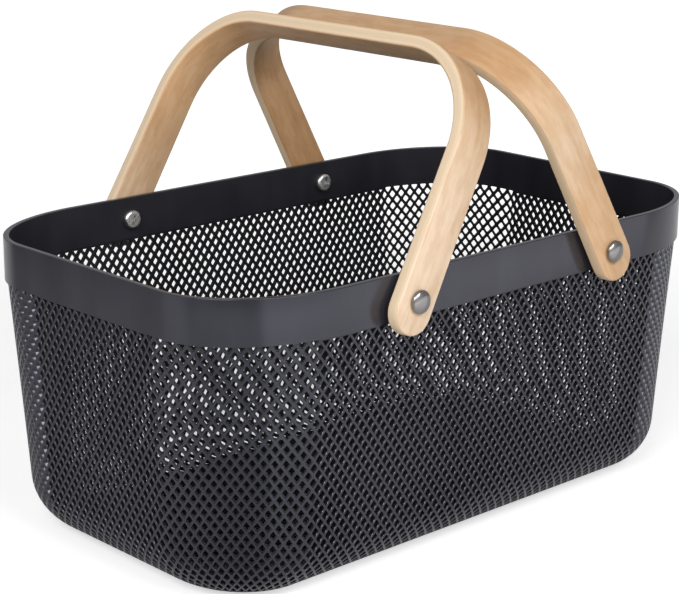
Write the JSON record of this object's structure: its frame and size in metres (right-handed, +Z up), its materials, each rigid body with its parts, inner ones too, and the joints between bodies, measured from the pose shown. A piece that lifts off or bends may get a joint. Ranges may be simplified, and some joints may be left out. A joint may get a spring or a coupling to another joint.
{
  "type": "mesh storage basket",
  "caption": "Open storage basket with rounded mesh walls, a smooth rim band and a pair of bentwood swing handles on steel pivots.",
  "frame": {"origin": "under the middle of the floor, on the plane that the basket rests on", "axes": "+X along the basket, -Y its front long side, +Z up"},
  "size_m": [0.39, 0.2648, 0.2825],
  "materials": {
    "charcoal_plastic": "satin moulded plastic, charcoal grey",
    "bent_wood": "clear satin lacquer on pale laminated wood",
    "satin_steel": "satin",
    "dark_nylon": "plain moulded"
  },
  "bodies": {
    "basket": {"basket_body": "charcoal_plastic", "pivot_cap_front_left": "satin_steel", "pivot_cap_back_left": "satin_steel", "pivot_cap_front_right": "satin_steel", "pivot_cap_back_right": "satin_steel", "pivot_screw_front_left": "satin_steel", "pivot_screw_back_left": "satin_steel", "pivot_screw_front_right": "satin_steel", "pivot_screw_back_right": "satin_steel", "pivot_spacer_front_left": "dark_nylon", "pivot_spacer_back_left": "dark_nylon", "pivot_spacer_front_right": "dark_nylon", "pivot_spacer_back_right": "dark_nylon"},
    "left_handle": {"handle_left": "bent_wood"},
    "right_handle": {"handle_right": "bent_wood"}
  },
  "joints": [
    {"name": "left_handle_swing", "type": "hinge", "parent": "basket", "child": "left_handle", "pos_m": [-0.07825, 0, 0.1576], "axis": [0, -1, 0], "range_deg": [0, 144]},
    {"name": "right_handle_swing", "type": "hinge", "parent": "basket", "child": "right_handle", "pos_m": [0.07825, 0, 0.1576], "axis": [0, 1, 0], "range_deg": [0, 144]}
  ]
}
